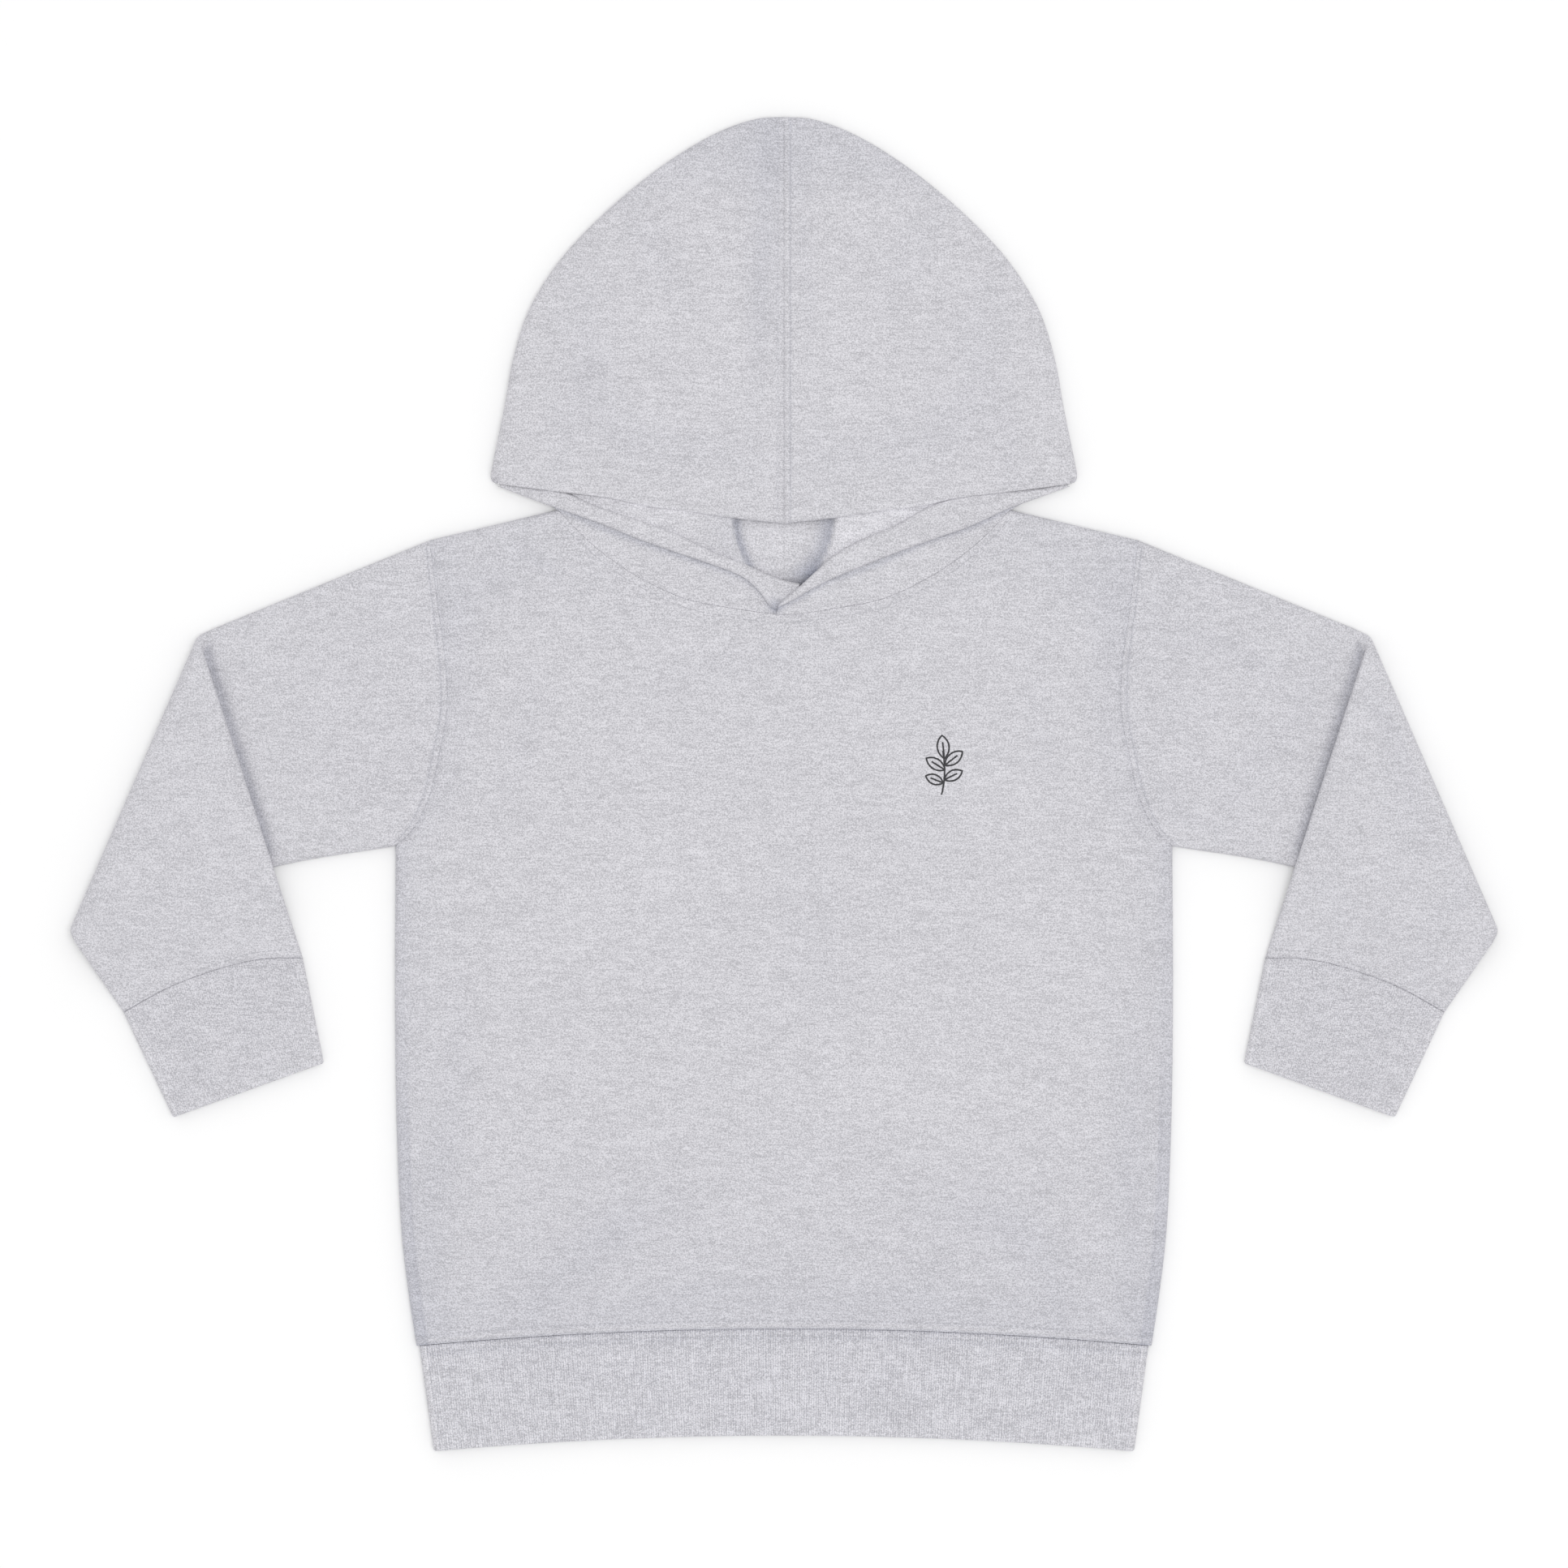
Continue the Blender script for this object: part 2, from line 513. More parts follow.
def rib_tube(name, seam, end, radius, creases, rib_tone, seam_tone, side=1):
    """A tube of doubled rib from its seam to its folded end. The ribs are raised cosines of the share across,
    and fade into the rounded end; the end's rim is a half circle of the wall."""
    width = float(np.hypot(*(seam(np.array(1.0)) - seam(np.array(0.0)))))
    ribs = round(width / RIB_PITCH)
    plan = ring_plan(ribs * 2 + 1, ribs * 4 + 1, 8)
    long = float(np.hypot(*(end(np.array(0.5)) - seam(np.array(0.5)))))
    rim = RIB_WALL / 2
    bend = np.linspace(0, math.pi / 2, 6)[1:]
    body = np.array([0, 0.35, 0.8, 1.5, 2.2, 2.9, 3.6, 4.4, 5.5])
    down = np.concatenate(
        [body, np.linspace(7, long - rim - 1, 26), [long - rim], long - rim + rim * np.sin(bend)]
    )
    shrink = np.concatenate([np.zeros(len(down) - len(bend)), rim * (1 - np.cos(bend))])
    few = np.array([0, len(down) // 2, len(down) - 3, len(down) - 2, len(down) - 1])
    wave = 0.5 - 0.5 * np.cos(2 * math.pi * ribs * plan[:, 0])
    wave = np.where(plan[:, 1] == 0, 0.5, wave)

    def rings(depth, down):
        up = (down / long)[:, None]
        across, z, layer = ring_places(plan, np.full(len(down), width), np.full(len(down), radius), depth)
        spot = lerp(seam(across), end(across), up[..., None])
        x, y = spot[..., 0], spot[..., 1]
        flat = 1 - smooth(down[:, None], long - rim - 1, long)
        if depth[0] < rim:
            z = z - layer * RIB_HEIGHT * wave[None, :] * flat
        calm = smooth(np.minimum(across, 1 - across) * width, 2, 9) * (layer > 0)
        z = z - calm * crease_depth(creases, x, y) - (layer > 0) * seam_dip(down[:, None]) * 0.8
        return np.stack([side * x, y, z], -1)

    outer = rings(shrink, down)
    over = plan[:, 1] > 0
    inner = rings(RIB_WALL - shrink[few], down[few])
    spread = np.ones((len(down), 1))
    below = np.exp(-(((down[:, None] - BAND_SHADE["down"]) / BAND_SHADE["reach"]) ** 2))
    tones = rib_tone * (1 - 2 * wave)[None, :] * spread - seam_tone * below
    tones = tones - 1.3 * seam_tone * np.exp(-((down[:, None] / 0.9) ** 2))
    tones = tones - 0.35 * seam_tone * (1 - smooth(down[:, None], 4, 14))
    tones -= CREASE_SHADE * crease_depth(creases, side * outer[..., 0], outer[..., 1]) * (
        outer[..., 2] > radius
    )
    piece = add_mesh(name, *wall(outer, inner, ring=True), tone=(tones, np.zeros(inner.shape[:2])))
    return piece, outer[:, over], np.broadcast_to(down[:, None], outer[:, over].shape[:2])


def arc_line(ends, rise):
    """A shallow arc from side to side whose middle stands over its ends by the rise."""

    def read(t):
        t = np.asarray(t, float)
        return np.stack([lerp(-ends[0], ends[0], t), ends[1] + rise * (1 - (2 * t - 1) ** 2)], -1)

    return read


fold_start, fold_stop = np.array(FOLD_TOP), np.array(FOLD_END)
fold_along = (fold_stop - fold_start) / np.hypot(*(fold_stop - fold_start))
fold_out = np.array([-fold_along[1], fold_along[0]])
fold_foot = fold_start - fold_out * FOLD_RADIUS
ROUND_FOLD = math.pi * FOLD_RADIUS


def past_fold(spot):
    """How far a point lies past the fold's axis, out from the body."""
    return (np.asarray(spot, float) - fold_foot) @ fold_out


def shifted(spot, by):
    """A point moved straight out across the fold."""
    return np.asarray(spot, float) + fold_out * np.asarray(by, float)[..., None]


def unfolded(spot):
    """A point of the forearm as it lies, back in the flat sleeve."""
    return shifted(spot, ROUND_FOLD - 2 * past_fold(spot))


def at_fold(a, b):
    """Where the line from a to b meets the fold's axis."""
    a, b = np.array(a, float), np.array(b, float)
    return lerp(a, b, past_fold(a) / (past_fold(a) - past_fold(b)))


def beside_forearm(x, y):
    """Distance from the folded forearm's inner edge, towards the body."""
    run = np.array(FOREARM_TOP) - np.array(FOREARM_INNER)
    run /= np.hypot(*run)
    return (y - FOREARM_INNER[1]) * run[0] - (x - FOREARM_INNER[0]) * run[1]


def forearm_lift(spot):
    """Height of the forearm's underside: it rests on the upper sleeve, then comes down to the table."""
    edge = np.array(FOLD_END) - np.array(FOREARM_INNER)
    from_inner = spot - np.array(FOREARM_INNER)
    below = (from_inner[..., 0] * edge[1] - from_inner[..., 1] * edge[0]) / np.hypot(*edge)
    return (2 * FOLD_RADIUS - 2 * SLEEVE_EDGE) * (1 - smooth(below, 0, FOREARM_FALL))


def folded(spot, z):
    """The flat sleeve bent round the fold's axis: points before it stay, those within half a turn go round a
    circle of the fold's radius less their height, and the rest lie turned over on top."""
    past = past_fold(spot)
    turn = np.clip(past / FOLD_RADIUS, 0, math.pi)
    round_spot = shifted(spot, (FOLD_RADIUS - z) * np.sin(turn) - past)
    round_z = FOLD_RADIUS - (FOLD_RADIUS - z) * np.cos(turn)
    back_spot = shifted(spot, ROUND_FOLD - 2 * past)
    back_z = forearm_lift(back_spot) + 2 * SLEEVE_EDGE - z
    first, last = past <= 0, past >= ROUND_FOLD
    laid = np.where(first[..., None], spot, np.where(last[..., None], back_spot, round_spot))
    return np.concatenate([laid, np.where(first, z, np.where(last, back_z, round_z))[..., None]], -1)


def sleeve_rows(upper, fold, fore):
    """Rows of the flat sleeve from the armhole to the cuff: both edges, and the pull of each end's curve."""
    near = {
        "start": np.array(SHOULDER_TIP, float) + [SEAM_CLOSE, 0],
        "fold": at_fold(SHOULDER_TIP, FOLD_TOP),
        "back": unfolded(at_fold(FOREARM_INNER, FOLD_TOP)),
        "mid": unfolded(FOREARM_INNER),
        "end": unfolded(CUFF_SEAM[0]),
    }
    far = {
        "start": np.array(UNDERARM, float) + [SEAM_CLOSE, 0],
        "mid": np.array(FOREARM_INNER, float),
        "fold": at_fold(FOREARM_INNER, FOLD_END),
        "back": unfolded(at_fold(CUFF_SEAM[-1], FOLD_END)),
        "end": unfolded(CUFF_SEAM[-1]),
    }
    a = np.concatenate([[0, 0.002, 0.005, 0.01, 0.015, 0.0195, 0.0236, 0.0277, 0.032],
        np.linspace(0.04, 1, upper)])[:-1]
    b = np.linspace(0, 1, fold)
    c = np.concatenate([np.linspace(0, 0.97, fore), [0.98, 0.988, 0.994, 0.998, 1]])[1:]
    blend = lambda p, q, t: lerp(p, q, t[:, None])
    first = np.concatenate([
        blend(near["start"], near["fold"], a), blend(near["fold"], near["back"], b),
        Curve([near["back"], near["mid"], near["end"]])(c),
    ])
    second = np.concatenate([
        Curve([far["start"], far["mid"], far["fold"]])(a), blend(far["fold"], far["back"], b),
        blend(far["back"], far["end"], c),
    ])
    arm = np.concatenate([(1 - a) ** 2, np.zeros(len(b) + len(c))])
    wrist = np.concatenate([np.zeros(len(a) + len(b)), c**2])
    share = np.concatenate([a, b * 0, c])
    return first, second, arm, wrist, share


def end_bend(line, across):
    """How far a curved end departs from the straight line between its ends."""
    ends = line(np.array([0.0, 1.0]))
    return line(across) - lerp(ends[0], ends[1], across[..., None])


def sleeve(name, side):
    """A sleeve: rings across the flat sleeve, folded over at the elbow."""
    near, far, arm, wrist, share = sleeve_rows(70, 22, 66)
    plan = ring_plan(46, 46, 9)
    arm_line, cuff_line = Curve(ARMHOLE[::-1]), Curve(CUFF_SEAM)
    width = np.hypot(*(far - near).T)
    radius = lerp(SLEEVE_EDGE, BODY_EDGE, arm)

    def rings(depth):
        across, z, layer = ring_places(plan, width, radius, depth)
        hump = SLEEVE_CROWN * (1 - (2 * across - 1) ** 4)
        head, wristy = (arm[:, None] > 0), (wrist[:, None] > 0)
        top = head * hump * np.sin(math.pi * np.minimum(1, share[:, None] * 1.9))
        low = wristy * hump * np.sin(math.pi * share[:, None])
        z = z + np.where(layer > 0, top, 0) - np.where(layer < 0, low, 0)
        spot = lerp(near[:, None], far[:, None], across[..., None])
        spot = spot + arm[:, None, None] * end_bend(arm_line, across)
        spot = spot + wrist[:, None, None] * end_bend(lambda t: unfolded(cuff_line(t)), across)
        head_way = np.where(head, share[:, None] * 110, 99)
        cuff_way = np.where(wristy, (1 - share[:, None]) * 120, 99)
        stitched = (layer > 0) * row_sink(head_way, ARM_ROW)
        z = z - (layer >= 0) * seam_dip(head_way, *ARMHOLE_DIP) + (layer <= 0) * wristy * seam_dip(cuff_way)
        z = z - ROW_SINK["depth"] * stitched
        calm = smooth(np.minimum(across, 1 - across) * width[:, None], 2, 10)
        calm = calm * smooth(head_way, 0, 8) * smooth(cuff_way, 0, 8)
        laid = folded(spot, z)
        x, y = laid[..., 0], laid[..., 1]
        beside = beside_forearm(x, y)
        upper = calm * head * (layer > 0)
        dent = np.exp(-(((beside - FOREARM_DENT["beside"]) / FOREARM_DENT["wide"]) ** 2))
        dent = upper * dent * smooth(y, FOREARM_INNER[1] - 4, FOREARM_INNER[1] + 14)
        laid[..., 2] -= FOREARM_DENT["depth"] * dent
        upper = upper * smooth(beside, 0, 10)
        fore = calm * wristy * (layer < 0)
        laid[..., 2] -= upper * crease_depth(SLEEVE_CREASES, x, y) + fore * crease_depth(
            FOREARM_CREASES, x, y
        )
        laid[..., 2] += 0.7 * calm * head * (layer < 0) * crease_depth(SLEEVE_CREASES, x + 9, y - 7)
        laid[..., 0] *= side
        creased = upper * crease_depth(SLEEVE_CREASES, x, y) + fore * crease_depth(FOREARM_CREASES, x, y)
        tone = FOREARM_DENT["tone"] * dent + ROW_SINK["tone"] * stitched - CREASE_SHADE * creased + SLEEVE_TONE
        return laid, tone - 0.03 * np.exp(-((head_way / 0.6) ** 2)) * (layer > 0) - 0.03 * stitched

    outer, tone = rings(0)
    under, over = plan[:, 1] < 0, plan[:, 1] > 0
    cuff_way = np.where(wrist[:, None] > 0, (1 - share[:, None]) * 120, 99) + np.zeros((1, under.sum()))
    head_way = np.where(arm[:, None] > 0, share[:, None] * 110, 99) + np.zeros((1, over.sum()))
    inner, _ = rings(WALL)
    piece = add_mesh(name, *wall(outer, inner, ring=True), tone=(tone, tone * 0))
    return piece, (outer[:, over], head_way), (outer[:, under], -cuff_way)


def cuff(name, side):
    """A cuff from the sleeve's end to its own folded end."""
    seam = Curve(CUFF_SEAM)
    pull = np.array([-0.02, -0.04])
    return rib_tube(
        name, lambda t: seam(t) + pull, straight(*CUFF_END), CUFF_EDGE, CUFF_CREASES, 0.05, 0.012, side
    )


# Hood


def hole_edge(y):
    """How far out from the middle the hole between the pleats reaches."""
    return PLEAT["hole"] + PLEAT["slant"] * smooth(y, PLEAT["foot"], HOOD_LIP[0][1])


def pleat_rise(x, y, name):
    """Height that the pleats add inside the hood: a soft step out from the hole, fading up and outwards."""
    above = y - PLEAT_FOOT["rise"] - PLEAT_FOOT["slope"] * x
    sides = smooth(x - hole_edge(y), -PLEAT_SOFT[name] / 2, PLEAT_SOFT[name] / 2)
    fades = (1 - smooth(y, HOOD_LIP[2][1], PLEAT["top"])) * (1 - smooth(x, *PLEAT["outer"]))
    return PLEAT["rise"] * sides * fades * smooth(above, 0, PLEAT_FOOT["soft"])


def lip_ease(x, y, name):
    """Tone that lightens the lip's line, by how far out from the middle it is."""
    share = np.interp(x, *np.array(LIP_EASE[name]).T)
    return share * np.exp(-(((y - np.interp(x, *np.array(HOOD_LIP).T)) / 1.1) ** 2))


def inside_tone(x, y, name):
    """Tone of the hood's inside: paler than the outside, and shaded beside the pleat and at the hole's foot."""
    depth, reach = HOLE_SHADE[name]
    inward = hole_edge(y) - x
    beside = np.exp(-((inward / reach) ** 2)) * smooth(inward, -0.8, 0.4)
    spot = HOLE_FOOT_SHADE
    way = -x if name == "right" else x
    foot = np.exp(-(((way - spot["x"]) / spot["wide"]) ** 2) - ((y - spot["y"]) / spot["tall"]) ** 2)
    sides = INSIDE_TONE[name] - INSIDE_FALL[name] * (1 - smooth(-inward, 0, 26))
    lit = lerp(sides, HOLE_TONE, smooth(inward, -1.5, 0.5))
    return lit - depth * beside * (1 - smooth(y, 118, 126)) - spot["depth"] * foot


def hood_crown(name, cols, back_rows, turns, front_rows, depth):
    """Half of the hood's back and crown: up the back, round the outline's fold and down to the upper lip."""
    back_neck = neck_curve(BACK_NECK)
    foot = joined(lambda t: back_neck(0.5 + t / 2), Curve([NECK_POINT, *HOOD_FOOT_CORNER]), 0.8)
    outline, lip = Curve(HOOD_OUTLINE), Curve(HOOD_LIP)
    middle = np.array([0, 0.0008, 0.0016, 0.003, 0.005, 0.0075, 0.01, 0.0125, 0.015, 0.018, 0.022])
    u = np.unique(np.concatenate([middle, np.linspace(0.028, 0.95, cols), np.linspace(0.955, 1, 22), [0.8]]))
    shrink = 1 - HOOD_CORNER["shrink"] * smooth(u, HOOD_CORNER["start"], 1)
    radius = (lerp(HOOD_FOLD_CROWN, HOOD_FOLD_CORNER, u**2) * shrink)[:, None]
    rim = outline(u)
    slope = outline(np.minimum(1, u + 0.003)) - outline(np.maximum(0, u - 0.003))
    slope /= np.hypot(*slope.T)[:, None]
    out = np.stack([-slope[:, 1], slope[:, 0]], -1)
    inside = rim - out * radius
    base, lip_spot = foot(u), lip(u)
    t = np.linspace(0, 1, back_rows) ** 0.8
    back = lerp(base[:, None], inside[:, None], t[None, :, None])
    back_z = np.where(depth > 0, depth + pleat_rise(back[..., 0], back[..., 1], name), 0)
    to_rim = (1 - t[None, :]) * np.hypot(*(inside - base).T)[:, None]
    back_z = back_z + smooth(to_rim, 4, 16) * smooth(back[..., 1], 145, 165) * crease_depth(
        HOOD_BACK_CREASES, *np.moveaxis(back, -1, 0)
    )
    angle = np.linspace(-math.pi / 2, math.pi / 2, turns + 2)[1:-1][None, :]
    reach = (radius - depth) * np.cos(angle)
    turn = inside[:, None] + out[:, None] * reach[..., None]
    turn_z = radius + (radius - depth) * np.sin(angle)
    t = np.concatenate([np.linspace(0, 0.98, front_rows), 1 - np.array([14, 10, 7, 4.5, 2.5, 1, 0]) / 1000])[
        None, :
    ]
    front = lerp(inside[:, None], lip_spot[:, None], t[..., None])
    level = np.interp(lip_spot[:, 0], *np.array(LIP_LEVEL).T)[:, None]
    puff = HOOD_PUFF * np.sin(math.pi * t) * (1 - u**2)[:, None]
    x, y = front[..., 0], front[..., 1]
    rim_way = t * np.hypot(*(lip_spot - inside).T)[:, None]
    calm = smooth(rim_way, 0, 14) * smooth(1 - t, 0, 0.06)
    front_z = lerp(2 * radius, level, smooth(t, 0, 1)) + puff - depth - calm * crease_depth(
        HOOD_CREASES, x, y
    )
    front_z = front_z - seam_dip(x, *HOOD_SEAM_DIP) + 0.2 * np.exp(-(((x - 1.4) / 0.8) ** 2))
    front_z = front_z - ROW_SINK["depth"] * row_sink(x, HOOD_ROW)
    to_lip = np.clip(1 - (1 - t) * np.hypot(*(lip_spot - inside).T)[:, None] / LIP_ROUND, 0, 1)
    front_z = front_z - LIP_ROUND * 0.6 * (1 - np.sqrt(1 - to_lip**2)) * (depth == 0)
    under_lip = WALL + pleat_rise(x, y, name) + 0.05
    front_z = np.maximum(front_z, under_lip + (LIP_EDGE if depth == 0 else 0))
    plan = np.concatenate([back, turn, front], 1)
    z = np.concatenate([back_z, turn_z, front_z], 1)
    plan[..., 0] = np.maximum(plan[..., 0], SEAM_CLOSE / 2)
    tone = ROW_SINK["tone"] * HOOD_ROW_TONE[name] * row_sink(plan[..., 0], HOOD_ROW) * (z > radius)
    tone = tone - CREASE_SHADE * crease_depth(HOOD_CREASES, plan[..., 0], plan[..., 1]) * (z > radius)
    tone = tone - 0.05 * smooth(plan[..., 1], 252, 280) * (z > radius)
    if name == "right":
        beside = np.exp(-(((plan[..., 0] - HOOD_SHADE["x"]) / HOOD_SHADE["wide"]) ** 2))
        tone = tone - HOOD_SHADE["depth"] * beside * smooth(plan[..., 1], *HOOD_SHADE["y"]) * (z > radius)
    if depth > 0:
        tone = inside_tone(plan[..., 0], plan[..., 1], name) * np.ones_like(z)
    tone = tone + lip_ease(plan[..., 0], plan[..., 1], name)
    return np.concatenate([plan, z[..., None]], -1), tone


def hood_face(table, name, cols, under_rows, turns, over_rows, outside):
    """The lower front of the hood: up from the neck seam, round the roll and down to the free edge."""
    places = np.linspace(0, len(table) - 1, cols)
    read = hermite(table, np.arange(len(table), dtype=float), places)
    seam, roll, edge, level, foot = read[:, 0:2], read[:, 2:4], read[:, 4:6], read[:, 6], read[:, 7:8]
    neck_line = neck_curve(FRONT_NECK).line
    sewn_on = np.interp(
        np.abs(seam[:, 0]), neck_line[len(neck_line) // 2 :, 0], neck_line[len(neck_line) // 2 :, 1]
    )
    seam[:, 1] = lerp(sewn_on, seam[:, 1], smooth(seam[:, 0], NECK_POINT[0], NECK_POINT[0] + 3)) + FOOT_TUCK
    way = roll - seam
    long = np.maximum(np.hypot(*way.T), 1)[:, None]
    up = way / long
    radius = WALL + ROLL_GAP / 2
    centre = roll - up * radius
    r = radius if outside else ROLL_GAP / 2
    middle = (level + radius)[:, None]
    t = np.linspace(0, 1, under_rows)[None, :]
    under = lerp(seam[:, None], centre[:, None], t[..., None])
    under_z = middle - r + (foot - middle + radius) * (1 - smooth(t, 0, 0.75))
    angle = np.linspace(-math.pi / 2, math.pi / 2, turns + 2)[1:-1][None, :]
    turn = centre[:, None] + up[:, None] * (r * np.cos(angle))[..., None]
    turn_z = middle + r * np.sin(angle)
    t = (np.linspace(0, 1, over_rows) ** 0.6)[None, :]
    over = lerp(centre[:, None], edge[:, None], t[..., None])
    swell = 0.6 * np.sin(math.pi * t) + EDGE_LIFT[name] * t**2
    reach = np.maximum(np.hypot(*(edge - centre).T), 1)[:, None]
    to_edge = np.clip(1 - (1 - t) * reach / EDGE_ROUND, 0, 1)
    over_z = middle + r + swell * np.clip(reach / 12, 0.2, 1)
    over_z = over_z - EDGE_ROUND * 0.75 * (1 - np.sqrt(1 - to_edge**2)) * outside
    plan = np.concatenate([under, turn, over], 1)
    z = np.concatenate([under_z, turn_z, over_z], 1)
    to_shadow = ((under - edge[:, None]) * up[:, None]).sum(-1)
    shade = -EDGE_SHADE * np.exp(-((to_shadow / 1.8) ** 2)) * (not outside)
    tone = np.concatenate([shade, np.zeros(turn.shape[:2]), np.zeros(over.shape[:2])], 1)
    tone = tone + lip_ease(plan[..., 0], plan[..., 1], name)
    chin = (plan - (CHIN_SHADE["x"] * (1 if name == "left" else -1), CHIN_SHADE["y"])) / CHIN_SHADE["reach"]
    tone -= CHIN_SHADE["depth"] * np.exp(-(chin**2).sum(-1))
    return np.concatenate([plan, z[..., None]], -1), tone


def hood_half(name, side, table):
    """One half of the hood: its back and crown, and its rolled lower front, as two closed walls."""
    outer, outer_tone = hood_crown(name, 100, 70, 12, 80, 0)
    inner, inner_tone = hood_crown(name, 100, 70, 12, 80, WALL)
    under, under_tone = hood_face(table, name, 120, 40, 13, 30, True)
    over, over_tone = hood_face(table, name, 120, 40, 13, 30, False)
    flip = np.array([side, 1, 1])
    crown_points, crown_faces = wall(outer, inner)
    crown = add_mesh(f"hood_crown_{name}", crown_points * flip, crown_faces, tone=(outer_tone, inner_tone))
    face_points, face_faces = wall(under, over)
    face = add_mesh(f"hood_face_{name}", face_points * flip, face_faces, tone=(under_tone, over_tone))
    return crown, face, outer[:, -85:] * flip


# Materials


class Num:
    """A number that a material works out at each point. Each sign or function adds one maths node."""

    def __init__(self, shade, socket):
        self.shade, self.socket = shade, socket

    def maths(self, operation, *others):
        sockets = dict(enumerate((self, *others)))
        return Num(
            self.shade, self.shade.node("ShaderNodeMath", {"operation": operation}, sockets).outputs[0]
        )

    def __add__(self, other):
        return self.maths("ADD", other)

    def __mul__(self, other):
        return self.maths("MULTIPLY", other)

    def __sub__(self, other):
        return self.maths("SUBTRACT", other)

    def __truediv__(self, other):
        return self.maths("DIVIDE", other)

    def __rsub__(self, other):
        return self * -1 + other

    __radd__ = __add__
    __rmul__ = __mul__

    def step(self, low, high):
        """0 at low, 1 at high, and an S curve between."""
        sockets = {"Value": self, "From Min": low, "From Max": high}
        return Num(self.shade, self.shade.node("ShaderNodeMapRange", {"interpolation_type": "SMOOTHSTEP"},
            sockets).outputs[0])


class Shade:
    """The nodes of one material, and the kinds of pattern that the cloth is made from."""

    def __init__(self, name):
        self.material = bpy.data.materials.new(name)
        self.material.use_nodes = True
        self.tree = self.material.node_tree
        self.tree.nodes.clear()
        place = self.node("ShaderNodeTexCoord").outputs["Object"]
        self.place = self.node("ShaderNodeVectorMath", {"operation": "SCALE"},
            {0: place, "Scale": 1 / MM}).outputs[0]
        parts = self.node("ShaderNodeSeparateXYZ", {}, {0: self.place}).outputs
        self.x, self.y, self.z = (Num(self, parts[i]) for i in range(3))
        askew = self.z + self.x * 0.37 + self.y * 0.29
        self.slanted = self.node("ShaderNodeCombineXYZ", {}, {0: self.x, 1: self.y, 2: askew}).outputs[0]

    def node(self, kind, settings=None, sockets=None):
        """Adds a node, with its settings, and its sockets linked or set."""
        made = self.tree.nodes.new(kind)
        for key, value in (settings or {}).items():
            setattr(made, key, value)
        for key, value in (sockets or {}).items():
            value = value.socket if isinstance(value, Num) else value
            if isinstance(value, bpy.types.NodeSocket):
                self.tree.links.new(value, made.inputs[key])
            else:
                made.inputs[key].default_value = value
        return made

    def noise(self, sizes, detail=2, roughness=0.5, shift=0):
        """Noise about -0.5 to 0.5, whose blots have the sizes given in millimetres. Flat cloth cuts it at a slant,
        which keeps it even all over."""
        scaled = self.node(
            "ShaderNodeVectorMath", {"operation": "MULTIPLY_ADD"},
            {0: self.slanted, 1: tuple(1 / s for s in sizes), 2: (shift, shift * 0.7, shift * 1.3)},
        ).outputs[0]
        made = self.node("ShaderNodeTexNoise", {},
            {"Vector": scaled, "Scale": 1, "Detail": detail, "Roughness": roughness})
        return Num(self, made.outputs[0]) - 0.5

    def mix(self, share, low, high):
        """Colour a share of the way from low to high."""
        made = self.node("ShaderNodeMix", {"data_type": "RGBA"}, {"Factor": share, 6: low, 7: high})
        return made.outputs[2]

    def vector(self, work, *values):
        """Vector maths on links or constants."""
        return self.node("ShaderNodeVectorMath", {"operation": work}, dict(enumerate(values))).outputs[0]

    def toned(self, colour):
        """A colour made lighter or darker by the piece's tone, whose shades are a little cool."""
        tone = self.node("ShaderNodeAttribute", {"attribute_name": "tone"}).outputs["Vector"]
        lighter = self.vector("MAXIMUM", tone, (0, 0, 0))
        darker = self.vector("MINIMUM", tone, (0, 0, 0))
        share = self.vector("MULTIPLY_ADD", darker, COOL_SHADE, self.vector("ADD", lighter, (1, 1, 1)))
        return self.vector("MULTIPLY", colour, share)

    def cloth(self, colour, height, roughness):
        """Finishes the material as matt cloth with a soft sheen and a fine relief, whose height is in millimetres."""
        bump = self.node("ShaderNodeBump", {}, {"Height": height, "Distance": MM, "Strength": 1.0}).outputs[0]
        shader = self.node("ShaderNodeBsdfPrincipled", {}, {
            "Base Color": colour, "Roughness": roughness, "Normal": bump,
            "Sheen Weight": 0.12, "Sheen Roughness": 0.6, "Specular IOR Level": 0.12,
        })
        self.node("ShaderNodeOutputMaterial", {}, {"Surface": shader.outputs[0]})
        return self.material


FLEECE_LIGHT = (0.72, 0.712, 0.75, 1)
FLEECE_DARK = (0.43, 0.425, 0.452, 1)
RIB_LIGHT = (0.722, 0.714, 0.752, 1)
RIB_DARK = (0.423, 0.418, 0.446, 1)
COOL_SHADE = (1.08, 1.0, 0.78)
INK = (0.012, 0.012, 0.014, 1)


# The mottling of heather yarn: sizes in millimetres, detail, roughness and start of each noise, and its share
HEATHER = {
    "grain": ((0.62, 0.58, 0.6), 0, 0.5, 0, 1.48),
    "fleck": ((5.5, 0.7, 3.5), 1, 0.5, 17, 0.66),
    "streak": ((13, 3, 8), 2, 0.5, 5, 0.38),
    "blotch": ((42, 13, 30), 2, 0.5, 31, 0.15),
    "column": ((0.7, 9, 5), 0, 0.5, 11, 0.5),
}


def heather(shade, light, dark, strength, columns=0):
    """Heather grey: light and dark fibres in fine grain, short flecks, level streaks and wide faint blotches, and
    on the band's ribs also in columns."""
    made = {kind: shade.noise(*row[:4]) for kind, row in HEATHER.items() if kind != "column" or columns}
    blend = sum((made[kind] * HEATHER[kind][4] for kind in made if kind != "grain"),
        made["grain"] * HEATHER["grain"][4])
    share = (blend * strength + 0.5).step(-0.05, 1.05)
    return shade.mix(share, dark, light), made["grain"], made["fleck"]


